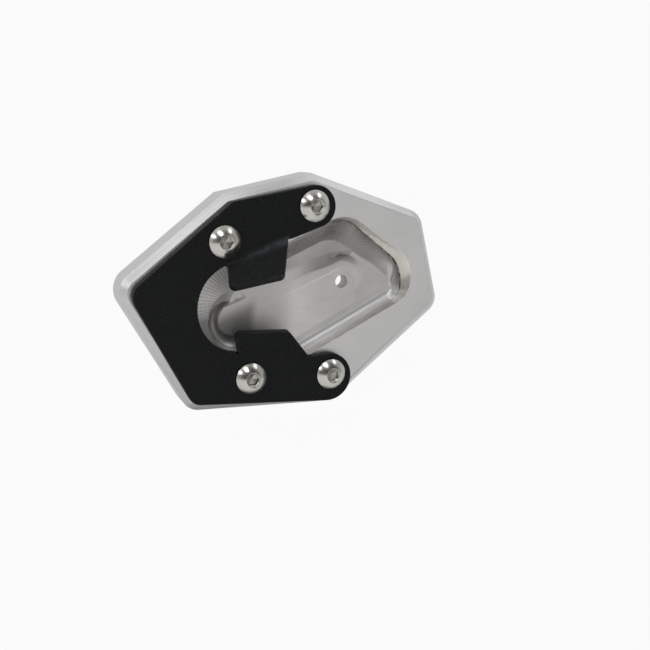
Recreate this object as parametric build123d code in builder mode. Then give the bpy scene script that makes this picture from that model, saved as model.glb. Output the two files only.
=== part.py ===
from build123d import *
import math
import os

# Kickstand foot enlarger: a milled base plate with a pocket for the stand's foot, a bent clamp plate over
# the foot and four button-head screws. Millimetres, +Z up, standing on the sole at z = 0.

# Places in the plan are shares of the base plate's length and width, from its middle; a third value is a radius
base_length = 104.0
base_width = 72.0

# Base plate
base_corners = (
    (-0.5144, 0.0208, 7.0),
    (-0.2067, 0.4028, 0.0),
    (0.0577, 0.5000, 0.0),
    (0.4279, 0.3403, 6.0),
    (0.5096, -0.0694, 5.0),
    (0.1587, -0.5000, 3.0),
    (-0.2933, -0.5000, 5.0),
)
base_thickness = 12.0
edge_chamfer = 2.2
sole_chamfer = 0.5

# Foot pocket: rim, ledge and floor, each rounded off round five circles
pocket_rim = (
    (-0.1481, -0.0583, 15.2),
    (0.0471, -0.2347, 3.7),
    (0.3413, 0.0278, 5.8),
    (0.3038, 0.0569, 9.8),
    (0.1654, 0.1778, 10.2),
)
pocket_ledge = (
    (-0.1288, -0.0611, 11.5),
    (0.0471, -0.2347, 2.5),
    (0.3221, 0.0278, 4.9),
    (0.2904, 0.0556, 8.4),
    (0.1606, 0.1792, 9.2),
)
pocket_floor = (
    (-0.0952, -0.0681, 7.5),
    (0.0471, -0.1875, 2.5),
    (0.3365, 0.0194, 0.9),
    (0.3452, 0.0403, 0.9),
    (0.1942, 0.1000, 5.5),
)
ledge_depth = 3.3
floor_depth = 5.86
floor_fall_angle = 2.86
floor_fall_direction = -61.0
# The bank between ledge and floor is hollow: halfway across it, this share of its height is left
bank_share = 0.34

# Trough along the pocket: ends, radius of its flat bottom, and its curved side's reach at two heights
trough_ends = ((-0.1519, -0.1292), (0.1875, 0.0306))
trough_flat_radius = 4.4
trough_side_reach = (2.95, 6.35)
trough_top_reach = (4.5, 6.35)
trough_depth = 6.7
trough_side_depth = 5.6
trough_top_depth = 2.5

# Shallow slot in the trough's bottom, scoop at its left end, and the drain hole at its right end
slot_rounds = (
    (-0.1173, -0.1750, 4.2),
    (0.1923, 0.0278, 4.2),
    (0.0471, -0.1833, 2.5),
    (0.2308, -0.0556, 1.5),
)
slot_depth = 6.9
scoop_start = (-0.1971, -0.1153)
scoop_end = (-0.0942, -0.0458)
scoop_radius = 7.0
scoop_depth = 7.15
drain_center = (0.1923, 0.0278)
drain_diameter = 4.2

# Clamp plate: its corners, arm ends and arm roots are rounded
clamp_thickness = 3.0
clamp_left = (-0.4163, -0.0069, 5.0)
clamp_top_left = (-0.1817, 0.3500, 2.0)
clamp_bottom_left = (-0.2692, -0.4042, 4.0)
upper_arm_end = (0.0596, 0.3639, 6.4)
upper_arm_root = (-0.0144, 0.2389, 0.8)
lower_arm_end = (0.1231, -0.3722, 7.6)
lower_arm_root = (0.0702, -0.2861, 0.8)
throat_center = (-0.1529, -0.0569)
throat_radius = 13.7

# Tabs bent up from the throat's sides: outlines are along and out from the bend line
bend_radius = 1.5
tab_corner_radius = 1.8
upper_bend_offset = 14.0
upper_bend_direction = 21.5
upper_tab_angle = 45.0
upper_tab_start = 20.0
upper_tab_outline = ((0.0, 0.0), (20.0, 0.0), (23.0, 7.4), (6.7, 10.6))
lower_bend_offset = 14.3
lower_bend_direction = -4.3
lower_tab_angle = 10.0
lower_tab_start = 0.3
lower_tab_outline = ((0.0, 0.0), (22.8, 0.0), (14.8, 8.0), (-2.4, 6.8))

# Button-head screws with hexagon sockets
screw_places = ((-0.2115, 0.2153), (0.0529, 0.3667), (-0.1240, -0.3556), (0.1279, -0.3569))
screw_turns = (30.0, 30.0, 30.0, 0.0)
screw_diameter = 5.0
screw_length = 12.0
screw_tip_chamfer = 0.6
head_diameter = 9.5
head_height = 2.75
head_land = 0.4
head_top_diameter = 4.6
head_dome_radius = 5.4
socket_width = 3.3
socket_depth = 1.7
socket_chamfer = 0.55
tapped_clearance = 0.1
clamp_hole_diameter = 5.5

clamp_top = base_thickness + clamp_thickness
sheet_reach = base_width / 2
throat_length = base_length


def place(spot):
    """A spot of the plan in millimetres."""
    return (spot[0] * base_length, spot[1] * base_width)


def rounded_outline(circles):
    """Fill the outline that runs tight round a set of circles."""
    with BuildSketch(mode=Mode.PRIVATE) as rounds:
        for circle in circles:
            with Locations(place(circle)):
                Circle(circle[2])
    return make_hull(rounds.sketch.edges())


def falling_plane(depth, angle):
    """Plane below the base plate's top that falls towards the pocket's long straight wall."""
    fall = Vector(math.tan(math.radians(angle)), 0, 0).rotate(Axis.Z, floor_fall_direction)
    return Plane((0, 0, base_thickness - depth), x_dir=(1, 0, -fall.X), z_dir=(fall.X, fall.Y, 1))


def bend_plane(offset_out, along, direction_angle, side):
    """Plane on the clamp's top with its origin on one side of the throat: X along the side, Y into the throat."""
    direction = Vector(1, 0, 0).rotate(Axis.Z, direction_angle)
    outward = Vector(0, side, 0).rotate(Axis.Z, direction_angle)
    origin = Vector(*place(throat_center), clamp_top) + outward * offset_out + direction * along
    return Plane(origin, x_dir=direction * -side, z_dir=(0, 0, 1))


def bend_setback(angle):
    """How far before the bend line the sheet starts to curve."""
    return bend_radius * math.tan(math.radians(angle) / 2)


def bent_tab(plane, angle, outline):
    """A tab of the sheet, bent up about the X axis of its plane and trimmed to its outline."""
    setback = bend_setback(angle)
    section_plane = Plane(plane.origin, x_dir=plane.y_dir, z_dir=plane.x_dir)
    flange_plane = Plane(plane.location * Rotation(angle, 0, 0))
    root = -2 * (setback + clamp_thickness)
    trimmed = (outline[0], (outline[0][0], root), (outline[1][0], root)) + outline[1:]
    with BuildPart() as tab:
        with BuildSketch(section_plane):
            with BuildLine():
                bend = JernArc((-setback, -clamp_thickness / 2), (1, 0), bend_radius + clamp_thickness / 2, angle)
                PolarLine(bend @ 1, sheet_reach, direction=bend % 1)
            trace(line_width=clamp_thickness)
        extrude(amount=2 * sheet_reach, both=True)
        with BuildSketch(flange_plane):
            with BuildLine():
                FilletPolyline(*trimmed, radius=(0, 0, 0, 0, tab_corner_radius, tab_corner_radius), close=True)
            make_face()
        extrude(amount=sheet_reach, both=True, mode=Mode.INTERSECT)
    return tab.part


os.makedirs("parts", exist_ok=True)

screw_spots = [place(spot) for spot in screw_places]

# Base plate
pocket_bank = [tuple((a + b) / 2 for a, b in zip(*pair)) for pair in zip(pocket_ledge, pocket_floor)]
bank_depth = floor_depth - bank_share * (floor_depth - ledge_depth)

with BuildPart() as foot_pocket:
    with BuildSketch(Plane.XY.offset(base_thickness)):
        add(rounded_outline(pocket_rim))
    with BuildSketch(Plane.XY.offset(base_thickness - ledge_depth)):
        add(rounded_outline(pocket_ledge))
    with BuildSketch(falling_plane(bank_depth, floor_fall_angle * (1 - bank_share))):
        add(rounded_outline(pocket_bank))
    with BuildSketch(falling_plane(floor_depth, floor_fall_angle)):
        add(rounded_outline(pocket_floor))
    loft(ruled=True)

with BuildPart() as trough:
    for depth, reaches in (
        (trough_depth, (0, 0)),
        (trough_side_depth, trough_side_reach),
        (trough_top_depth, trough_top_reach),
        (0, trough_top_reach),
    ):
        with BuildSketch(Plane.XY.offset(base_thickness - depth)):
            add(rounded_outline([(*end, trough_flat_radius + reach) for end, reach in zip(trough_ends, reaches)]))
    loft(ruled=True)

scoop_foot = Vector(*place(scoop_start), base_thickness - scoop_depth + scoop_radius)
scoop_run = Vector(*place(scoop_end), scoop_foot.Z) - scoop_foot

with BuildPart() as base_plate:
    with BuildSketch():
        with BuildLine():
            FilletPolyline(
                *[place(corner) for corner in base_corners],
                radius=[corner[2] for corner in base_corners],
                close=True,
            )
        make_face()
    extrude(amount=base_thickness)
    chamfer(base_plate.faces().sort_by(Axis.Z)[-1].edges(), edge_chamfer)
    chamfer(base_plate.faces().sort_by(Axis.Z)[0].edges(), sole_chamfer)
    add(foot_pocket.part, mode=Mode.SUBTRACT)
    add(trough.part, mode=Mode.SUBTRACT)
    with BuildSketch(Plane.XY.offset(base_thickness)):
        add(rounded_outline(slot_rounds))
    extrude(amount=-slot_depth, mode=Mode.SUBTRACT)
    with BuildSketch(Plane(scoop_foot, z_dir=scoop_run)):
        Circle(scoop_radius)
    extrude(amount=scoop_run.length, mode=Mode.SUBTRACT)
    with Locations((*place(drain_center), base_thickness)):
        Hole(drain_diameter / 2)
    with Locations(*[(x, y, base_thickness) for x, y in screw_spots]):
        Hole(screw_diameter / 2 + tapped_clearance)
base_plate.part.label = "base_plate"
export_step(base_plate.part, "parts/base_plate.step")

# Clamp plate
upper_bend = bend_plane(upper_bend_offset, upper_tab_start, upper_bend_direction, 1)
lower_bend = bend_plane(lower_bend_offset, lower_tab_start, lower_bend_direction, -1)
upper_side = bend_plane(upper_bend_offset, 0, upper_bend_direction, 1).origin
lower_side = bend_plane(lower_bend_offset, 0, lower_bend_direction, -1).origin
bends = ((upper_bend, upper_tab_angle, upper_tab_outline), (lower_bend, lower_tab_angle, lower_tab_outline))
tabs = [bent_tab(plane, angle, outline) for plane, angle, outline in bends]

with BuildPart() as clamp_plate:
    with BuildSketch(Plane.XY.offset(base_thickness)):
        add(rounded_outline((clamp_left, clamp_top_left, clamp_bottom_left, upper_arm_root, lower_arm_root)))
        with Locations(place(throat_center)):
            Circle(throat_radius, mode=Mode.SUBTRACT)
        with BuildLine():
            upper_edge = PolarLine((upper_side.X, upper_side.Y), throat_length, upper_bend_direction)
            lower_edge = PolarLine((lower_side.X, lower_side.Y), throat_length, lower_bend_direction)
            Line(upper_edge @ 0, lower_edge @ 0)
            Line(upper_edge @ 1, lower_edge @ 1)
        make_face(mode=Mode.SUBTRACT)
        add(rounded_outline((clamp_top_left, upper_arm_root, upper_arm_end)))
        add(rounded_outline((clamp_bottom_left, lower_arm_root, lower_arm_end)))
    extrude(amount=clamp_thickness)
    for plane, angle, outline in bends:
        with BuildSketch(plane):
            Rectangle(outline[1][0], bend_setback(angle), align=(Align.MIN, Align.MAX))
        extrude(amount=-clamp_thickness, mode=Mode.SUBTRACT)
    add(tabs)
    with Locations(*[(x, y, clamp_top) for x, y in screw_spots]):
        Hole(clamp_hole_diameter / 2, clamp_thickness)
clamp_plate.part.label = "clamp_plate"
export_step(clamp_plate.part, "parts/clamp_plate.step")

# Screws
with BuildPart() as screw:
    with BuildSketch(Plane.XZ):
        with BuildLine():
            shank = screw_diameter / 2
            Polyline(
                (0, head_height),
                (0, -screw_length),
                (shank - screw_tip_chamfer, -screw_length),
                (shank, -screw_length + screw_tip_chamfer),
                (shank, 0),
                (head_diameter / 2, 0),
                (head_diameter / 2, head_land),
            )
            RadiusArc((head_diameter / 2, head_land), (head_top_diameter / 2, head_height), -head_dome_radius)
            Line((head_top_diameter / 2, head_height), (0, head_height))
        make_face()
    revolve(axis=Axis.Z)
    with BuildSketch(Plane.XY.offset(head_height)):
        RegularPolygon(socket_width / 2, 6, major_radius=False)
    extrude(amount=-socket_depth, mode=Mode.SUBTRACT)
    with Locations((0, 0, head_height)):
        Cone(
            bottom_radius=socket_width / 2,
            top_radius=socket_width / 2 + socket_chamfer,
            height=socket_chamfer,
            align=(Align.CENTER, Align.CENTER, Align.MAX),
            mode=Mode.SUBTRACT,
        )

with BuildPart() as button_head_screws:
    for (x, y), turn in zip(screw_spots, screw_turns):
        with Locations(Location((x, y, clamp_top), (0, 0, turn))):
            add(screw.part)
button_head_screws.part.label = "button_head_screws"
export_step(button_head_screws.part, "parts/button_head_screws.step")
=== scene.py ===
import math
from types import SimpleNamespace

import bmesh
import bpy
from mathutils import Matrix, Vector


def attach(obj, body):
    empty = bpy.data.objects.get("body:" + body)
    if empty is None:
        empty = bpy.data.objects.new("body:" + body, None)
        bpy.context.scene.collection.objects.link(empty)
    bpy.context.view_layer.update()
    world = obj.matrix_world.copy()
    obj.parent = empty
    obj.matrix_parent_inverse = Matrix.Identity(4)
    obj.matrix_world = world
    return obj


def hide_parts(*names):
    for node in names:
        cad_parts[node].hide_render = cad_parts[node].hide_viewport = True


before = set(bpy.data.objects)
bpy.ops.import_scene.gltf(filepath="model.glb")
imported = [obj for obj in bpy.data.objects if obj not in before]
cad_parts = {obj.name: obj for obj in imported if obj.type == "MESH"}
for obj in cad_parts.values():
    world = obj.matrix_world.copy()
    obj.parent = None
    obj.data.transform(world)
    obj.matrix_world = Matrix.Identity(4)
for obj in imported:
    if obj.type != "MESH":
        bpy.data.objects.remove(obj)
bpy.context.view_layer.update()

# The pieces are modelled in millimetres and shrunk to metres at the end
TO_METRES = 0.001
PLATE_TOP = 12.0
CLAMP_TOP = 15.0
OVER_PLATE = 14.0
LEVEL_SLACK = 0.01
RING_SIDES = 96
SMOOTH_ANGLE = 28
SHEET_SMOOTH_ANGLE = 35

# Base plate corners: x, y and rounding
PLATE_CORNERS = (
    (-53.5, 1.5, 7.0),
    (-21.5, 29.0, 0.0),
    (6.0, 36.0, 0.0),
    (44.5, 24.5, 6.0),
    (53.0, -5.0, 5.0),
    (16.5, -36.0, 3.0),
    (-30.5, -36.0, 5.0),
)
CORNER_STEPS = 16
EDGE_CHAMFER = 2.2
SOLE_CHAMFER = 0.5
BROKEN_EDGE = 0.13

# Pocket levels, each drawn tight round circles: x, y, radius
POCKET_RIM = (
    (-15.4, -4.2, 15.2),
    (4.9, -16.9, 3.7),
    (35.5, 2.0, 5.8),
    (31.6, 4.1, 9.8),
    (17.2, 12.8, 10.2),
)
POCKET_LEDGE = (
    (-13.4, -4.4, 11.5),
    (4.9, -16.9, 3.5),
    (34.2, -0.2, 4.3),
    (30.2, 4.0, 8.4),
    (16.7, 12.9, 9.2),
)
POCKET_FLOOR = (
    (-9.9, -4.9, 7.5),
    (4.9, -14.4, 2.6),
    (35.6, 0.9, 1.4),
    (35.4, 2.4, 1.4),
    (14.6, 6.2, 9.0),
)
LEDGE_HEIGHT = 8.7
FLOOR_HEIGHT = 6.2
# The long straight wall runs between these two circles; the rest of the way round is bank
WALL_CIRCLES = (1, 2)
WALL_INWARD = (-0.485, 0.874)
WALL_AWAY = 16.8
FLOOR_FOOT = 5.3
FLOOR_FALL = 0.05
# Steps down a bank, and how its drop is shared between plain slope and hollow
BANK_STEPS = (1.0, 0.9, 0.78, 0.65, 0.52, 0.4, 0.29, 0.19, 0.11, 0.05, 0.015, 0.0)
BANK_SLOPE = 0.55
BANK_HOLLOW = 0.45

# Cuts in the pocket's floor, each drawn tight over rings: x, y, radius, height
SHELF_FLOOR = ((-8.0, -5.5, 3.0, 5.9), (17.0, 4.0, 4.6, 5.65))
SHELF_BRIM = ((-9.9, -4.9, 7.4), (14.6, 6.2, 8.9))
SHELF = [*SHELF_FLOOR] + [(*circle, height) for height in (6.5, 7.0) for circle in SHELF_BRIM]
# The trough's two ends, and the radius and height of each step up their sides
TROUGH_TOE = (-15.8, -9.3)
TOE_STEPS = ((1.0, 5.95), (5.0, 6.2), (6.2, 6.5), (7.4, 7.2), (8.4, 8.1), (9.2, 9.5), (9.2, OVER_PLATE))
TROUGH_HEEL = (19.5, 2.2)
HEEL_STEPS = ((4.4, 5.3), (6.0, 5.4), (7.4, 5.6), (8.4, 5.87), (9.6, 6.4), (9.6, OVER_PLATE))
TROUGH = [(*TROUGH_TOE, *step) for step in TOE_STEPS] + [(*TROUGH_HEEL, *step) for step in HEEL_STEPS]
SLOT_CIRCLES = ((-12.2, -12.6, 4.2), (20.0, 2.0, 4.2), (4.9, -13.2, 2.5), (24.0, -4.0, 1.5))
SLOT_FLOOR = 5.2
SLOT = [(*circle, height) for circle in SLOT_CIRCLES for height in (SLOT_FLOOR, OVER_PLATE)]

# Holes: the drain's x, y and radius, then the radius for a screw
DRAIN = (20.0, 2.0, 2.1)
SCREW_HOLE = 2.6
DRILL_LENGTH = 40.0
DRILL_SIDES = 64

# Where the clamp's tabs leave its arms; the edges there stay sharp
BEND_ROOTS = ((-2.4, 16.2), (-20.9, 9.0), (6.05, -20.1), (-16.7, -18.4))
ROOT_REACH = 0.8
CUT_EDGE_ROUND = 0.35
CUT_EDGE_ANGLE = 40

# Screws: x, y and how far the socket is turned
SCREWS = ((-22.0, 15.5, 30.0), (5.5, 26.4, 30.0), (-12.9, -25.6, 30.0), (13.3, -25.7, 0.0))
SHANK_LENGTH = 12.0
SHANK_RADIUS = 2.5
SHANK_TIP = 0.6
HEAD_RADIUS = 4.75
HEAD_LAND = 0.75
DOME_RADIUS = 9.5
DOME_TOP = (2.3, 2.75)
DOME_STEPS = 12
CONE_BRIM = (2.2, 2.76)
HEXAGON_HALF = 1.65
SOCKET_FLOOR = 1.05
# Drop and narrowing of the drilled bottom's two steps
SOCKET_DRILL = ((0.05, 0.8), (0.5, 0.05))

# How near a face of the base plate has to lie to count as top, edge or hole
TOP_SLACK = 0.02
EDGE_SLACK = 0.4
HOLE_SLACK = 0.1
# A screw's faces within this reach and over this height are socket, and higher still they are cone
SOCKET_REACH = 2.1
SOCKET_BOTTOM = 0.3
CONE_FOOT = 2.2

# Directions of the cuts in the pocket's floor, as seen from above, and where two of them lie
SLOT_ACROSS = (-0.413, 0.911)
SLOT_FAR_EDGE = -2.24
TROUGH_ALONG = (0.951, 0.31)
TROUGH_ACROSS = (-0.31, 0.951)
TROUGH_MIDDLE = -3.95
# Cutter marks: the wall's direction, the pitch on each cut and the radius at which the hatch turns the ends
WALL_MARKS = (0.33, -0.62, -0.7)
WALL_PITCH = 0.6
HATCH_PITCH = 0.82
HATCH_STEP = 0.95
HATCH_RADIUS = 12.0
FLOOR_PITCH = 0.7
TURN_PITCH = 1.9
# The pocket's middle line, and how steeply a face may lean and still count as floor
MIDDLE_ENDS = (-12.0, 26.0)
MIDDLE_CLIMB = 0.24
MIDDLE_START = -2.0
FLOOR_FACING = (0.985, 0.994)
# A lens-shaped cut between the shelf and the trough, and where the cutter turned
LENS_MIDDLE = (14.5, 8.0)
LENS_HALF = (11.0, 2.1)
TURN_MIDDLE = (6.5, -3.0)
# The upper tab's bend line: its direction across and how far out it lies
BEND_ACROSS = (-0.367, 0.93)
BEND_AWAY = 16.0

# Studio, in metres
WHITE = (1, 1, 1, 1)
FLOOR_SIZE = 6.0
FLOOR_DROP = 0.0001
PAPER_GLOW = 0.94
# The table that metal sees turns dark on the near side, though not far to the right: millimetres and levels
TABLE_DARK_NEAR = (-46.0, -62.0)
TABLE_DARK_RIGHT = (52.0, 34.0)
TABLE_LEVELS = (0.6, 0.03)
# Directions in the room
DARK_PATCH = (0.46, -0.64, 0.61)
OVERHEAD = (0.3, 0.1, 0.95)
LAMP_REACH = 1.5
# Windows: where they stand, width, height and brightness
WINDOWS = {
    "window_left": ((-0.835, 0.417, 0.358), 0.35, 0.35, 4.0),
    "window_middle": ((-0.365, 0.775, 0.515), 0.5, 0.4, 4.5),
    "window_right": ((0.529, 0.813, 0.242), 0.3, 0.25, 4.5),
}
CAMERA_LENS = 47.126
CAMERA_SENSOR = 36.0
CAMERA_AXES = ((0.91905, 0.04421, 0.39165), (0.03414, 0.98103, -0.19085), (-0.39266, 0.18877, 0.9001))
CAMERA_PLACE = (-0.0926, 0.039583, 0.251806)


# Modelling helpers


def only(piece):
    """Leave nothing but this piece selected and active."""
    bpy.ops.object.select_all(action="DESELECT")
    piece.select_set(True)
    bpy.context.view_layer.objects.active = piece


def edit(piece):
    """Go into edit mode with all of the piece selected."""
    only(piece)
    bpy.ops.object.mode_set(mode="EDIT")
    bpy.ops.mesh.select_all(action="SELECT")


def leave():
    bpy.ops.object.mode_set(mode="OBJECT")


def fix_order(piece):
    """Put the mesh in one order, so that each run gives the same piece."""
    edit(piece)
    bpy.ops.mesh.sort_elements(type="CURSOR_DISTANCE", elements={"VERT", "EDGE", "FACE"})
    leave()


def clean(piece, merge, flat_angle):
    """Merge doubled points and melt the lines that cross flat faces."""
    edit(piece)
    bpy.ops.mesh.remove_doubles(threshold=merge)
    bpy.ops.mesh.dissolve_limited(angle_limit=math.radians(flat_angle))
    leave()


def turn_out(piece):
    """Make all faces point outwards."""
    edit(piece)
    bpy.ops.mesh.normals_make_consistent(inside=False)
    leave()


def pick_edges(piece, wanted):
    """In edit mode, select the edges that the test wants."""
    bpy.ops.mesh.select_mode(type="EDGE")
    bpy.ops.mesh.select_all(action="DESELECT")
    mesh = bmesh.from_edit_mesh(piece.data)
    for edge in mesh.edges:
        edge.select_set(wanted(edge))
    bmesh.update_edit_mesh(piece.data)


def at_height(height):
    """A test for edges that lie flat at a height."""
    return lambda edge: all(abs(vert.co.z - height) < LEVEL_SLACK for vert in edge.verts)


def round_edges(piece, wanted, width, segments):
    edit(piece)
    pick_edges(piece, wanted)
    bpy.ops.mesh.bevel(offset=width, offset_type="OFFSET", segments=segments, clamp_overlap=False)
    leave()


def fix_place(piece):
    """Take the piece's place, turn and size into its mesh."""
    only(piece)
    bpy.ops.object.transform_apply(location=True, rotation=True, scale=True)


def shrink(piece):
    """Bring a finished piece to metres, with its place in its mesh."""
    piece.scale = (TO_METRES, TO_METRES, TO_METRES)
    piece.location = piece.location * TO_METRES
    fix_place(piece)


def smooth(piece, angle):
    """Shade the curves smooth and keep the flats flat."""
    only(piece)
    bpy.ops.object.shade_smooth_by_angle(angle=math.radians(angle))
    even = piece.modifiers.new("even", "WEIGHTED_NORMAL")
    even.keep_sharp = True
    bpy.ops.object.modifier_apply(modifier=even.name)


def hull_block(name, rings):
    """A block drawn tight over rings."""
    drawn = []
    for x, y, radius, height in rings:
        bpy.ops.object.select_all(action="DESELECT")
        bpy.ops.mesh.primitive_circle_add(vertices=RING_SIDES, radius=radius, location=(x, y, height))
        drawn.append(bpy.context.object)
    for ring in drawn:
        ring.select_set(True)
    bpy.context.view_layer.objects.active = drawn[0]
    bpy.ops.object.join()
    block = bpy.context.object
    block.name = name
    fix_place(block)
    edit(block)
    bpy.ops.mesh.convex_hull()
    leave()
    turn_out(block)
    return block


def cut(piece, cutter):
    """Take the cutter out of the piece and throw the cutter away."""
    only(piece)
    take = piece.modifiers.new("cut", "BOOLEAN")
    take.operation = "DIFFERENCE"
    take.solver = "EXACT"
    take.object = cutter
    bpy.ops.object.modifier_apply(modifier=take.name)
    bpy.data.objects.remove(cutter)


# Base plate


def plate_blank():
    """The seven-sided plate with rounded corners and its chamfers, before the pocket is cut."""
    bpy.ops.object.select_all(action="DESELECT")
    bpy.ops.mesh.primitive_circle_add(vertices=len(PLATE_CORNERS), fill_type="NGON")
    blank = bpy.context.object
    blank.name = "milled_base"
    for vert, (x, y, _) in zip(blank.data.vertices, PLATE_CORNERS):
        vert.co = (x, y, 0.0)
    edit(blank)
    bpy.ops.mesh.extrude_region_move(TRANSFORM_OT_translate={"value": (0, 0, PLATE_TOP)})
    leave()
    turn_out(blank)
    for number, (x, y, radius) in enumerate(PLATE_CORNERS):
        if radius == 0.0:
            continue
        before = Vector(PLATE_CORNERS[number - 1][:2]) - Vector((x, y))
        after = Vector(PLATE_CORNERS[(number + 1) % len(PLATE_CORNERS)][:2]) - Vector((x, y))
        reach = radius * math.tan((math.pi - before.angle(after)) / 2)

        def upright_here(edge, x=x, y=y):
            return all(math.hypot(vert.co.x - x, vert.co.y - y) < LEVEL_SLACK for vert in edge.verts)

        round_edges(blank, upright_here, reach, CORNER_STEPS)
    round_edges(blank, at_height(PLATE_TOP), EDGE_CHAMFER, segments=1)
    round_edges(blank, at_height(0.0), SOLE_CHAMFER, segments=1)
    return blank


def floor_height(x, y):
    """The pocket's floor falls gently towards its long straight wall."""
    return FLOOR_FOOT + FLOOR_FALL * (WALL_AWAY + WALL_INWARD[0] * x + WALL_INWARD[1] * y)


def bank_rings():
    """Rings from ledge to floor: the straight wall ends in a round, the other banks run out flatter."""
    rings = []
    for rise in BANK_STEPS:
        flatter = (math.sqrt(BANK_SLOPE ** 2 + 4 * BANK_HOLLOW * rise) - BANK_SLOPE) / (2 * BANK_HOLLOW)
        rounder = math.sqrt(1 - (1 - rise) ** 2)
        for number, pair in enumerate(zip(POCKET_LEDGE, POCKET_FLOOR)):
            share = 1 - (rounder if number in WALL_CIRCLES else flatter)
            circle = [a + (b - a) * share for a, b in zip(*pair)]
            rings.append((*circle, FLOOR_HEIGHT + (LEDGE_HEIGHT - FLOOR_HEIGHT) * rise))
    return rings


def pocket_cutter():
    """The pocket's rim, ledge, banks and falling floor as one block."""
    rim = [(*circle, height) for circle in POCKET_RIM for height in (OVER_PLATE, PLATE_TOP)]
    pocket = hull_block("pocket_cutter", rim + bank_rings())
    for vert in pocket.data.vertices:
        if vert.co.z < LEDGE_HEIGHT + LEVEL_SLACK:
            rise = (vert.co.z - FLOOR_HEIGHT) / (LEDGE_HEIGHT - FLOOR_HEIGHT)
            tilted = floor_height(vert.co.x, vert.co.y)
            vert.co.z = tilted + (LEDGE_HEIGHT - tilted) * rise
    return pocket


def base_plate():
    plate = plate_blank()
    cut(plate, pocket_cutter())
    for rings in (SHELF, TROUGH, SLOT):
        cut(plate, hull_block("floor_cutter", rings))
    for x, y, radius in [DRAIN] + [(x, y, SCREW_HOLE) for x, y, _ in SCREWS]:
        bpy.ops.object.select_all(action="DESELECT")
        bpy.ops.mesh.primitive_cylinder_add(
            vertices=DRILL_SIDES, radius=radius, depth=DRILL_LENGTH, location=(x, y, 0.0)
        )
        cut(plate, bpy.context.object)
    fix_order(plate)
    clean(plate, merge=0.01, flat_angle=0.05)
    for height in (PLATE_TOP, PLATE_TOP - EDGE_CHAMFER):
        round_edges(plate, at_height(height), BROKEN_EDGE, segments=2)
    shrink(plate)
    smooth(plate, SMOOTH_ANGLE)
    return plate


# Clamp plate


def cut_edge(edge):
    """A test for the sheet's outward cut edges, away from the bends' roots."""
    middle = (edge.verts[0].co + edge.verts[1].co) / 2
    if any(math.hypot(middle.x - x, middle.y - y) < ROOT_REACH for x, y in BEND_ROOTS):
        return False
    return edge.is_convex and edge.calc_face_angle(0.0) > math.radians(CUT_EDGE_ANGLE)


def clamp_plate():
    """The bent sheet, taken from the solid model and rounded along its cut edges."""
    sheet = bpy.data.objects.new("bent_clamp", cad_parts["clamp_plate"].data.copy())
    bpy.context.scene.collection.objects.link(sheet)
    sheet.scale = (1 / TO_METRES,) * 3
    fix_place(sheet)
    clean(sheet, merge=0.002, flat_angle=0.5)
    turn_out(sheet)
    round_edges(sheet, cut_edge, CUT_EDGE_ROUND, segments=3)
    shrink(sheet)
    smooth(sheet, SHEET_SMOOTH_ANGLE)
    return sheet


# Screws


def ring_to(height, scale):
    """Draw the open ring out to a new height and width about the screw's axis."""
    bpy.ops.mesh.extrude_edges_move(TRANSFORM_OT_translate={"value": (0, 0, height)})
    bpy.ops.transform.resize(value=(scale, scale, 1), center_override=(0, 0, 0))


def hexagon(piece, height_of):
    """Draw the open ring out onto the socket's hexagon."""
    ring_to(0.0, 1.0)
    mesh = bmesh.from_edit_mesh(piece.data)
    for vert in mesh.verts:
        if vert.select:
            angle = math.atan2(vert.co.y, vert.co.x)
            off_flat = (angle + math.pi / 6) % (math.pi / 3) - math.pi / 6
            radius = HEXAGON_HALF / math.cos(off_flat)
            vert.co = (radius * math.cos(angle), radius * math.sin(angle), height_of(radius))
    bmesh.update_edit_mesh(piece.data)


def dome():
    """Radius and height along the head's arc, from its land to the flat round the socket."""
    start = Vector((HEAD_RADIUS, HEAD_LAND))
    end = Vector(DOME_TOP)
    chord = end - start
    inward = Vector((-chord.y, chord.x)).normalized()
    centre = (start + end) / 2 + inward * math.sqrt(DOME_RADIUS ** 2 - (chord.length / 2) ** 2)
    first = (start - centre).angle_signed(Vector((1, 0)))
    last = (end - centre).angle_signed(Vector((1, 0)))
    for step in range(1, DOME_STEPS + 1):
        angle = first + (last - first) * step / DOME_STEPS
        yield centre.x + DOME_RADIUS * math.cos(angle), centre.y + DOME_RADIUS * math.sin(angle)


def screw():
    """One button-head screw standing on its seat at z = 0: head, socket and shank."""
    radius, height = SHANK_RADIUS - SHANK_TIP, -SHANK_LENGTH
    bpy.ops.object.select_all(action="DESELECT")
    bpy.ops.mesh.primitive_circle_add(
        vertices=RING_SIDES, radius=radius, location=(0, 0, height), fill_type="NGON"
    )
    made = bpy.context.object
    made.name = "button_screw"
    fix_place(made)
    profile = [
        (SHANK_RADIUS, SHANK_TIP - SHANK_LENGTH),
        (SHANK_RADIUS, 0.0),
        (HEAD_RADIUS - BROKEN_EDGE, 0.0),
        (HEAD_RADIUS, BROKEN_EDGE),
        (HEAD_RADIUS, HEAD_LAND),
        *dome(),
        CONE_BRIM,
    ]
    edit(made)
    pick_edges(made, lambda edge: True)
    for new_radius, new_height in profile:
        ring_to(new_height - height, new_radius / radius)
        radius, height = new_radius, new_height
    # Socket: a cone down to the hexagon, then straight walls and a drilled bottom
    hexagon(made, lambda ring_radius: CONE_BRIM[1] - (CONE_BRIM[0] - ring_radius))
    hexagon(made, lambda ring_radius: SOCKET_FLOOR)
    for drop, scale in SOCKET_DRILL:
        ring_to(-drop, scale)
    bpy.ops.mesh.edge_face_add()
    leave()
    turn_out(made)
    bpy.ops.object.shade_smooth_by_angle(angle=math.radians(SMOOTH_ANGLE))
    return made


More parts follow.
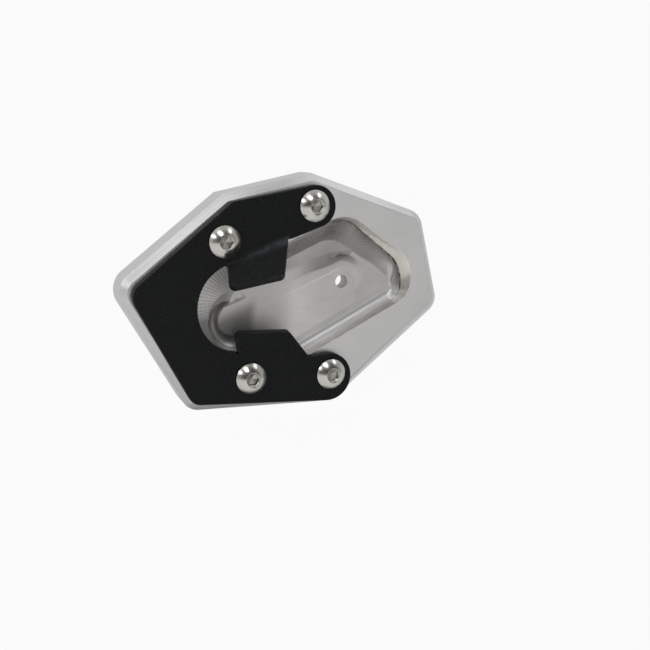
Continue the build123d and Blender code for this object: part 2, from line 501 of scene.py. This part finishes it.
def screws():
    first = screw()
    made = []
    for x, y, turn in SCREWS:
        copy = bpy.data.objects.new("button_screw", first.data.copy())
        bpy.context.scene.collection.objects.link(copy)
        copy.location = (x, y, CLAMP_TOP)
        copy.rotation_euler = (0, 0, math.radians(turn))
        shrink(copy)
        made.append(copy)
    bpy.data.objects.remove(first)
    return made


plate = base_plate()
sheet = clamp_plate()
fasteners = screws()
pieces = [(plate, "base_plate"), (sheet, "clamp_plate")] + [(one, "button_head_screws") for one in fasteners]
for piece, node in pieces:
    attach(piece, "root")
    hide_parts(node)


# Finish helpers


def wire(tree, kind, settings=None, inputs=None):
    """Add a node, set it up and plug its inputs."""
    made = tree.nodes.new(kind)
    for name, value in (settings or {}).items():
        setattr(made, name, value)
    for name, value in (inputs or {}).items():
        if isinstance(value, bpy.types.NodeSocket):
            tree.links.new(value, made.inputs[name])
        else:
            made.inputs[name].default_value = value
    return made


def new_finish(name, **values):
    finish = bpy.data.materials.new(name)
    finish.use_nodes = True
    tree = finish.node_tree
    shader = tree.nodes["Principled BSDF"]
    for socket, value in values.items():
        shader.inputs[socket.replace("_", " ")].default_value = value
    return finish, tree, shader


def millimetres(tree, stretch=(1, 1, 1)):
    """The piece's own coordinates, in millimetres and stretched."""
    place = wire(tree, "ShaderNodeTexCoord")
    scale = [share / TO_METRES for share in stretch]
    inputs = {"Vector": place.outputs["Object"], "Scale": scale}
    return wire(tree, "ShaderNodeMapping", None, inputs).outputs["Vector"]


def split(tree, vector):
    """The three parts of a vector."""
    return wire(tree, "ShaderNodeSeparateXYZ", None, {"Vector": vector}).outputs


def upward(tree):
    """How far a face looks up."""
    return split(tree, wire(tree, "ShaderNodeNewGeometry").outputs["Normal"])["Z"]


def noise(tree, stretch, detail=3.0):
    inputs = {"Vector": millimetres(tree, stretch), "Scale": 1.0, "Detail": detail}
    return wire(tree, "ShaderNodeTexNoise", None, inputs).outputs["Fac"]


def even_noise(tree, grain, detail=3.0):
    return noise(tree, (grain, grain, grain), detail)


def spread(tree, value, low, high):
    """Stretch a noise to a range."""
    inputs = {"Value": value, "From Min": 0.3, "From Max": 0.7, "To Min": low, "To Max": high}
    return wire(tree, "ShaderNodeMapRange", None, inputs).outputs["Result"]


def ease(tree, value, low, high, start=0.0, end=1.0):
    """A soft step from one value to another."""
    inputs = {"Value": value, "From Min": low, "From Max": high, "To Min": start, "To Max": end}
    return wire(tree, "ShaderNodeMapRange", {"interpolation_type": "SMOOTHSTEP"}, inputs).outputs["Result"]


def sums(tree, operation, *values):
    return wire(tree, "ShaderNodeMath", {"operation": operation}, dict(enumerate(values))).outputs[0]


def times(tree, *values):
    whole = values[0]
    for value in values[1:]:
        whole = sums(tree, "MULTIPLY", whole, value)
    return whole


def most(tree, *values):
    whole = values[0]
    for value in values[1:]:
        whole = sums(tree, "MAXIMUM", whole, value)
    return whole


def lean(tree, parts, direction):
    """How far a spot lies along a direction."""
    whole = times(tree, parts[0], direction[0])
    for part, share in zip(parts[1:], direction[1:]):
        whole = sums(tree, "ADD", whole, times(tree, part, share))
    return whole


def distance(tree, along, across):
    """The length of two steps at right angles."""
    return sums(tree, "SQRT", sums(tree, "ADD", times(tree, along, along), times(tree, across, across)))


def apart(tree, spot, middle):
    """How far a spot lies from a middle, as seen from above."""
    return distance(tree, *[sums(tree, "SUBTRACT", part, own) for part, own in zip(spot, middle)])


def ripple(tree, value, pitch):
    """Cutter marks at an even pitch."""
    return sums(tree, "SINE", times(tree, value, 2 * math.pi / pitch))


def bump(tree, shader, height, strength, depth):
    inputs = {"Height": height, "Strength": strength, "Distance": depth}
    tree.links.new(wire(tree, "ShaderNodeBump", None, inputs).outputs["Normal"], shader.inputs["Normal"])


def shades(tree, value, dark, light):
    """Colour that drifts between two shades."""
    ramp = wire(tree, "ShaderNodeValToRGB", None, {"Fac": value})
    for element, position, colour in zip(ramp.color_ramp.elements, (0.3, 0.7), (dark, light)):
        element.position = position
        element.color = (*colour, 1)
    return ramp.outputs["Color"]


def tint(tree, shader, value, dark, light):
    tree.links.new(shades(tree, value, dark, light), shader.inputs["Base Color"])


def roughen(tree, shader, value, low, high):
    tree.links.new(spread(tree, value, low, high), shader.inputs["Roughness"])


def stained(tree, colour, share, stain):
    """A colour covered in part by a stain."""
    mixed = wire(tree, "ShaderNodeMix", {"data_type": "RGBA"})
    tree.links.new(share, mixed.inputs[0])
    tree.links.new(colour, mixed.inputs[6])
    mixed.inputs[7].default_value = (*stain, 1)
    return mixed.outputs[2]


# Base plate's finishes


def milled_face():
    finish, tree, shader = new_finish("milled_face", Metallic=1.0)
    grain = noise(tree, (0.12, 5.0, 1.0))
    roughen(tree, shader, grain, 0.34, 0.44)
    tint(tree, shader, even_noise(tree, 0.08), (0.84, 0.84, 0.85), (0.9, 0.9, 0.905))
    bump(tree, shader, grain, 0.12, 0.00002)
    return finish


def milled_edge():
    finish, tree, shader = new_finish("milled_edge", Metallic=1.0)
    grain = noise(tree, (0.06, 0.06, 7.0))
    roughen(tree, shader, grain, 0.36, 0.52)
    tint(tree, shader, grain, (0.76, 0.76, 0.77), (0.94, 0.94, 0.945))
    bump(tree, shader, grain, 0.5, 0.00003)
    return finish


def drilled_hole():
    finish, tree, shader = new_finish("drilled_hole", Metallic=1.0)
    rings = noise(tree, (0.3, 0.3, 6.0))
    roughen(tree, shader, rings, 0.4, 0.6)
    # Darker colour: painted shade inside the drain hole, over a rough drilled finish
    tint(tree, shader, rings, (0.46, 0.44, 0.40), (0.62, 0.60, 0.55))
    return finish


def pocket_places(tree):
    """Where a spot of the pocket lies and which cut it belongs to."""
    place = SimpleNamespace()
    place.spot = split(tree, millimetres(tree))
    x, y, z = place.x, place.y, place.z = place.spot
    facing = upward(tree)
    place.flat = ease(tree, facing, *FLOOR_FACING)
    place.over_ledge = sums(tree, "SUBTRACT", z, LEDGE_HEIGHT)
    place.off_ledge = sums(tree, "ABSOLUTE", place.over_ledge)
    place.below_ledge = ease(tree, place.over_ledge, 0.0, -0.1)
    # At the toe end the bank runs up to the rim
    whole_bank = most(tree, place.below_ledge, ease(tree, x, -6.0, -12.0))
    place.bank = times(tree, whole_bank, ease(tree, facing, *reversed(FLOOR_FACING)))
    # Steps aside and out from the pocket's middle line
    place.middle = sums(tree, "MINIMUM", sums(tree, "MAXIMUM", x, MIDDLE_ENDS[0]), MIDDLE_ENDS[1])
    place.aside = sums(tree, "SUBTRACT", x, place.middle)
    middle_y = sums(tree, "MULTIPLY_ADD", place.middle, MIDDLE_CLIMB, MIDDLE_START)
    place.out = sums(tree, "SUBTRACT", y, middle_y)
    place.near_side = times(tree, place.bank, ease(tree, place.out, -2.0, -4.0))
    place.straight_wall = times(tree, place.near_side, ease(tree, x, -8.0, -2.0))
    place.across_slot = lean(tree, place.spot[:2], SLOT_ACROSS)
    place.across_trough = sums(tree, "SUBTRACT", lean(tree, place.spot[:2], TROUGH_ACROSS), TROUGH_MIDDLE)
    place.along_trough = lean(tree, place.spot[:2], TROUGH_ALONG)
    steps = zip((place.along_trough, place.across_trough), LENS_MIDDLE, LENS_HALF)
    shares = [times(tree, sums(tree, "SUBTRACT", way, own), 1 / half) for way, own, half in steps]
    from_lens = sums(tree, "ADD", *[times(tree, share, share) for share in shares])
    place.lens = ease(tree, from_lens, 1.05, 0.85)
    place.rough_toe = times(tree, ease(tree, x, 18.0, -6.0, 0.0, 0.62), place.flat)
    return place


def cutter_marks(tree, place):
    """Hatching on the banks and the lens, fine lines down the straight wall and along the floor."""
    turned = sums(tree, "ARCTAN2", place.aside, place.out)
    round_way = sums(tree, "MULTIPLY_ADD", turned, HATCH_RADIUS, place.middle)
    out_way = distance(tree, place.aside, place.out)
    steps = sums(tree, "MULTIPLY_ADD", ripple(tree, out_way, HATCH_STEP), 0.5, 0.5)
    hatch = times(tree, ripple(tree, round_way, HATCH_PITCH), steps, ease(tree, place.out, -4.0, -2.0))
    wall_way = lean(tree, place.spot, WALL_MARKS)
    down = times(tree, ripple(tree, wall_way, WALL_PITCH), ease(tree, place.out, -2.0, -4.0), 0.3)
    come_and_go = ease(tree, noise(tree, (0.14, 0.3, 0.3)), 0.38, 0.62, 0.2, 1.0)
    along = times(tree, ripple(tree, place.across_slot, FLOOR_PITCH), come_and_go, 0.2)
    hatched = most(tree, place.bank, times(tree, place.lens, 0.5))
    on_banks = times(tree, sums(tree, "ADD", hatch, down), hatched)
    return sums(tree, "ADD", on_banks, times(tree, along, place.flat))


def painted_shade_on_cuts(tree, place):
    """Share of painted shade: the far bank, the toe's near bank and crescent, the shelf and the lens."""
    x = place.x
    far_bank = times(tree, place.bank, ease(tree, place.out, 2.0, 6.0), ease(tree, x, -14.0, -6.0, 0.1, 0.38))
    toe_bank = times(tree, place.near_side, ease(tree, x, -4.0, -10.0, 0.0, 0.55))
    from_toe = apart(tree, place.spot[:2], TROUGH_TOE)
    crescent = times(tree, place.bank, ease(tree, from_toe, 9.5, 8.9), ease(tree, x, -16.0, -20.0), 0.6)
    beside_trough = ease(tree, place.across_trough, 8.0, 10.0)
    shelf = times(tree, beside_trough, ease(tree, x, 30.0, 20.0), place.flat, 0.35)
    lens = times(tree, place.lens, ease(tree, place.along_trough, 4.0, 14.0), 0.5)
    return most(tree, far_bank, toe_bank, crescent, shelf, lens)


def painted_highlight_lines(tree, place):
    """Painted highlights: lines along the slot's far edge and on the toe's edge, and arcs where the cutter
    turned, real turning marks painted bright.
    """
    x = place.x
    off_slot_edge = sums(tree, "ABSOLUTE", sums(tree, "SUBTRACT", place.across_slot, SLOT_FAR_EDGE))
    slot_edge_highlight = times(tree, ease(tree, off_slot_edge, 0.3, 0.1), ease(tree, x, 20.0, 17.0))
    turn = apart(tree, place.spot[:2], TURN_MIDDLE)
    broken = ease(tree, even_noise(tree, 0.25), 0.45, 0.6)
    crests = ease(tree, ripple(tree, turn, TURN_PITCH), 0.8, 1.0)
    arcs = times(tree, crests, ease(tree, turn, 8.0, 5.0), broken)
    on_floor = times(tree, most(tree, slot_edge_highlight, arcs), place.flat, 0.7)
    on_ledge = ease(tree, place.off_ledge, 0.35, 0.15)
    toe_edge = times(tree, on_ledge, ease(tree, place.y, -9.0, -12.0), ease(tree, x, -4.0, -8.0))
    return most(tree, on_floor, toe_edge)


def ledge_dirt(tree, place):
    """Dirt left in the ledge at the open end, and black specks beside it."""
    x, y = place.x, place.y
    patchy = ease(tree, even_noise(tree, 0.5), 0.35, 0.55, 0.25, 1.0)
    line = times(tree, ease(tree, place.off_ledge, 0.32, 0.1), patchy, ease(tree, x, 12.0, 20.0))
    line = times(tree, line, ease(tree, y, -3.0, 1.5), ease(tree, x, 26.0, 35.0, 0.5, 0.95))
    specks = ease(tree, even_noise(tree, 2.4, 1.0), 0.63, 0.68)
    specks = times(tree, specks, ease(tree, place.off_ledge, 0.9, 0.4), ease(tree, y, 12.0, 14.0))
    specks = times(tree, specks, ease(tree, x, 14.0, 17.0), ease(tree, x, 30.0, 26.0))
    return most(tree, line, specks)


def milled_pocket():
    """Ball-nose cutter marks on the banks and floor, painted shade and highlights in the cuts, and dirt left
    along the ledge.
    """
    finish, tree, shader = new_finish("milled_pocket", Metallic=1.0)
    place = pocket_places(tree)
    marks = cutter_marks(tree, place)
    bump(tree, shader, marks, 1.0, 0.00001)
    grain = spread(tree, noise(tree, (0.3, 1.2, 1.2)), 0.32, 0.42)
    rough = most(tree, grain, place.rough_toe, times(tree, place.straight_wall, 0.48))
    tree.links.new(rough, shader.inputs["Roughness"])
    colour = shades(tree, even_noise(tree, 0.1), (0.69, 0.68, 0.67), (0.77, 0.76, 0.75))
    colour = stained(tree, colour, times(tree, place.rough_toe, 1.55), (0.98, 0.97, 0.96))
    # Painted shade: the hollows between the cutter marks are coloured darker
    colour = stained(tree, colour, ease(tree, marks, 0.1, -0.9, 0.0, 0.6), (0.2, 0.2, 0.2))
    # The straight wall and the wall above the ledge are cut brighter
    colour = stained(tree, colour, times(tree, place.straight_wall, 0.9), (0.94, 0.94, 0.95))
    upper_wall = times(tree, ease(tree, place.over_ledge, 0.05, 0.4), ease(tree, place.x, -10.0, 0.0))
    colour = stained(tree, colour, upper_wall, (0.98, 0.95, 0.9))
    # Painted shade on the far bank, the toe's crescent, the shelf and the lens
    colour = stained(tree, colour, painted_shade_on_cuts(tree, place), (0.2, 0.2, 0.205))
    # Painted highlights along the edges and on the turning arcs
    colour = stained(tree, colour, painted_highlight_lines(tree, place), (0.97, 0.97, 0.97))
    # The toe end of the trough is left rough; painted shade darkens it towards the slot
    toe = times(tree, ease(tree, place.x, -7.5, -11.5), ease(tree, place.across_slot, 2.7, -2.3), place.flat)
    colour = stained(tree, colour, times(tree, toe, 0.55), (0.13, 0.13, 0.135))
    # Painted shade under the ledge at the open end
    open_end = times(tree, ease(tree, place.x, 17.0, 27.0), ease(tree, place.y, -1.0, 4.0))
    under_ledge = times(tree, ease(tree, place.over_ledge, -2.2, -0.3), place.below_ledge)
    colour = stained(tree, colour, times(tree, under_ledge, open_end, 0.7), (0.14, 0.13, 0.125))
    colour = stained(tree, colour, ledge_dirt(tree, place), (0.035, 0.03, 0.025))
    tree.links.new(colour, shader.inputs["Base Color"])
    return finish


# Clamp plate's finish


def painted_bend_sheen(tree):
    """Painted highlight: a paler coat over the bends."""
    facing = upward(tree)
    bend = times(tree, ease(tree, facing, 0.992, 0.95), ease(tree, facing, 0.72, 0.78))
    return times(tree, bend, ease(tree, even_noise(tree, 0.35, 4.0), 0.35, 0.65, 0.25, 0.9))


def painted_bend_highlight(tree):
    """Painted highlight along the upper tab's bend, strongest at its open end."""
    x, y, _ = split(tree, millimetres(tree))
    off_bend = sums(tree, "SUBTRACT", lean(tree, (x, y), BEND_ACROSS), BEND_AWAY)
    highlight_band = ease(tree, sums(tree, "ABSOLUTE", off_bend), 1.7, 0.2)
    patchy = ease(tree, even_noise(tree, 0.5, 5.0), 0.32, 0.6, 0.3, 1.0)
    return times(tree, highlight_band, ease(tree, x, -21.0, -3.0), ease(tree, x, -1.6, -2.6), patchy, 0.85)


def black_coat():
    """Powder coat with fine specks, with painted highlights over the bends."""
    finish, tree, shader = new_finish(
        "black_coat", Metallic=0.0, Specular_IOR_Level=0.5, Specular_Tint=(0.42, 0.42, 0.42, 1.0)
    )
    grain = even_noise(tree, 3.0, 4.0)
    colour = shades(tree, even_noise(tree, 1.6), (0.0045, 0.0058, 0.0068), (0.0075, 0.009, 0.0105))
    # Painted highlight over the bends
    colour = stained(tree, colour, painted_bend_sheen(tree), (0.035, 0.04, 0.043))
    # Painted highlight along the upper tab's bend
    colour = stained(tree, colour, painted_bend_highlight(tree), (0.066, 0.074, 0.08))
    dust = ease(tree, even_noise(tree, 2.2, 1.0), 0.67, 0.72, 0.0, 0.8)
    colour = stained(tree, colour, dust, (0.06, 0.06, 0.06))
    tree.links.new(colour, shader.inputs["Base Color"])
    roughen(tree, shader, grain, 0.4, 0.52)
    bump(tree, shader, grain, 0.15, 0.00004)
    return finish


# Screws' finishes


def polished_steel():
    finish, tree, shader = new_finish("polished_steel", Metallic=1.0)
    smear = even_noise(tree, 0.6)
    roughen(tree, shader, smear, 0.2, 0.28)
    tint(tree, shader, smear, (0.64, 0.63, 0.60), (0.72, 0.70, 0.67))
    bump(tree, shader, even_noise(tree, 1.2), 0.1, 0.00004)
    return finish


def forged_socket():
    finish, tree, shader = new_finish("forged_socket", Metallic=1.0)
    grain = noise(tree, (3.0, 3.0, 1.5))
    roughen(tree, shader, grain, 0.24, 0.34)
    tint(tree, shader, grain, (0.42, 0.41, 0.38), (0.62, 0.60, 0.57))
    bump(tree, shader, grain, 0.08, 0.00005)
    return finish


def turned_cone():
    """The dull cone that leads into a screw's socket."""
    finish, tree, shader = new_finish("turned_cone", Metallic=1.0)
    grain = noise(tree, (1.5, 1.5, 3.0))
    roughen(tree, shader, grain, 0.38, 0.48)
    tint(tree, shader, grain, (0.56, 0.55, 0.52), (0.70, 0.68, 0.65))
    return finish


# Dressing the pieces


def dress(piece, *finishes):
    piece.data.materials.clear()
    for finish in finishes:
        piece.data.materials.append(finish)


def inside_by(x, y):
    """How far a spot lies inside the base plate's outline."""
    depths = []
    for start, end in zip(PLATE_CORNERS, PLATE_CORNERS[1:] + PLATE_CORNERS[:1]):
        along = Vector((end[0] - start[0], end[1] - start[1])).normalized()
        depths.append(along.x * (start[1] - y) - along.y * (start[0] - x))
    return min(depths)


def plate_finish(x, y, z):
    """Which of the base plate's finishes a face at a place has."""
    face, edge, pocket, hole = range(4)
    if z > PLATE_TOP - TOP_SLACK or z < LEVEL_SLACK:
        return face
    if inside_by(x, y) < EDGE_CHAMFER + EDGE_SLACK:
        return edge
    if z < SLOT_FLOOR and math.hypot(x - DRAIN[0], y - DRAIN[1]) < DRAIN[2] + HOLE_SLACK:
        return hole
    return pocket


def screw_finish(reach, height):
    """Which of a screw's finishes a face has, by its distance from the axis and height over the seat."""
    steel, socket, cone = range(3)
    if reach > SOCKET_REACH or height < SOCKET_BOTTOM:
        return steel
    return socket if height < CONE_FOOT else cone


dress(plate, milled_face(), milled_edge(), milled_pocket(), drilled_hole())
for face in plate.data.polygons:
    face.material_index = plate_finish(*[share / TO_METRES for share in face.center])
dress(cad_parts["base_plate"], plate.data.materials[0])
coat = black_coat()
dress(sheet, coat)
dress(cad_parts["clamp_plate"], coat)
steel, socket, cone = polished_steel(), forged_socket(), turned_cone()
dress(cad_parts["button_head_screws"], steel)
for one, (x, y, _) in zip(fasteners, SCREWS):
    dress(one, steel, socket, cone)
    for face in one.data.polygons:
        spot = face.center / TO_METRES
        face.material_index = screw_finish(math.hypot(spot.x - x, spot.y - y), spot.z - CLAMP_TOP)


# Floor, room, windows and camera


def mixed_by(tree, share, first, second):
    """One shader or the other, by a share."""
    inputs = {0: share, 1: first.outputs[0], 2: second.outputs[0]}
    return wire(tree, "ShaderNodeMixShader", None, inputs)


def white_paper():
    """White paper that keeps the shadow; metal sees a pale table that turns dark on the near left."""
    finish, tree, shader = new_finish("white_paper", Roughness=0.7)
    tint(tree, shader, even_noise(tree, 0.002), (0.80, 0.80, 0.80), (0.82, 0.82, 0.82))
    ray = wire(tree, "ShaderNodeLightPath")
    glow = wire(tree, "ShaderNodeEmission", None, {"Color": WHITE, "Strength": 1.0})
    lit = mixed_by(tree, times(tree, ray.outputs["Is Camera Ray"], PAPER_GLOW), shader, glow)
    x, y, _ = split(tree, millimetres(tree))
    dark_share = times(tree, ease(tree, y, *TABLE_DARK_NEAR), ease(tree, x, *TABLE_DARK_RIGHT))
    pale = ease(tree, dark_share, 0.0, 1.0, *TABLE_LEVELS)
    table = wire(tree, "ShaderNodeEmission", None, {"Color": WHITE, "Strength": pale})
    both = mixed_by(tree, ray.outputs["Is Glossy Ray"], lit, table)
    tree.links.new(both.outputs[0], tree.nodes["Material Output"].inputs["Surface"])
    return finish


def mixed_level(tree, share, first, second):
    return wire(tree, "ShaderNodeMix", None, {"Factor": share, "A": first, "B": second}).outputs["Result"]


def towards(tree, sky, direction):
    """How nearly the sky is seen in a direction."""
    inputs = {0: sky, 1: direction}
    return wire(tree, "ShaderNodeVectorMath", {"operation": "DOT_PRODUCT"}, inputs).outputs["Value"]


def studio_room(tree):
    """A light wall towards -Y with a dark patch high over it, a dark room with a paler horizon towards +Y."""
    sky = wire(tree, "ShaderNodeTexCoord").outputs["Generated"]
    _, north, height = split(tree, sky)
    far = ease(tree, height, 0.25, 0.5, 0.46, 0.06)
    near = ease(tree, towards(tree, sky, DARK_PATCH), 0.89, 0.965, 0.74, 0.05)
    wall = mixed_level(tree, ease(tree, north, -0.27, -0.02), near, far)
    overhead = ease(tree, towards(tree, sky, OVERHEAD), 0.9, 0.97)
    level = mixed_level(tree, overhead, wall, 0.62)
    warm = {0: level, 1: times(tree, level, 0.99), 2: times(tree, level, 0.97)}
    room = tree.nodes["Background"]
    tree.links.new(wire(tree, "ShaderNodeCombineColor", None, warm).outputs[0], room.inputs["Color"])
    white = wire(tree, "ShaderNodeBackground", None, {"Color": WHITE, "Strength": 1.0})
    seen = wire(tree, "ShaderNodeLightPath").outputs["Is Camera Ray"]
    tree.links.new(mixed_by(tree, seen, room, white).outputs[0], tree.nodes["World Output"].inputs["Surface"])


def window(name, direction, width, height, radiance):
    """A soft rectangular lamp that faces the object."""
    data = bpy.data.lights.new(name, "AREA")
    data.shape = "RECTANGLE"
    data.size = width
    data.size_y = height
    data.energy = radiance * math.pi * width * height
    made = bpy.data.objects.new(name, data)
    bpy.context.scene.collection.objects.link(made)
    made.location = Vector(direction).normalized() * LAMP_REACH
    made.rotation_euler = made.location.to_track_quat("Z", "Y").to_euler()


bpy.ops.object.select_all(action="DESELECT")
bpy.ops.mesh.primitive_plane_add(size=FLOOR_SIZE, location=(0, 0, -FLOOR_DROP))
floor = bpy.context.object
floor.name = "studio_floor"
dress(floor, white_paper())

world = bpy.data.worlds.new("studio")
bpy.context.scene.world = world
world.use_nodes = True
studio_room(world.node_tree)
for name, values in WINDOWS.items():
    window(name, *values)

camera_data = bpy.data.cameras.new("camera")
camera_data.lens = CAMERA_LENS
camera_data.sensor_width = CAMERA_SENSOR
camera = bpy.data.objects.new("camera", camera_data)
bpy.context.scene.collection.objects.link(camera)
place = Matrix(CAMERA_AXES).transposed().to_4x4()
place.translation = Vector(CAMERA_PLACE)
camera.matrix_world = place
bpy.context.scene.camera = camera
bpy.context.scene.view_settings.view_transform = "Standard"
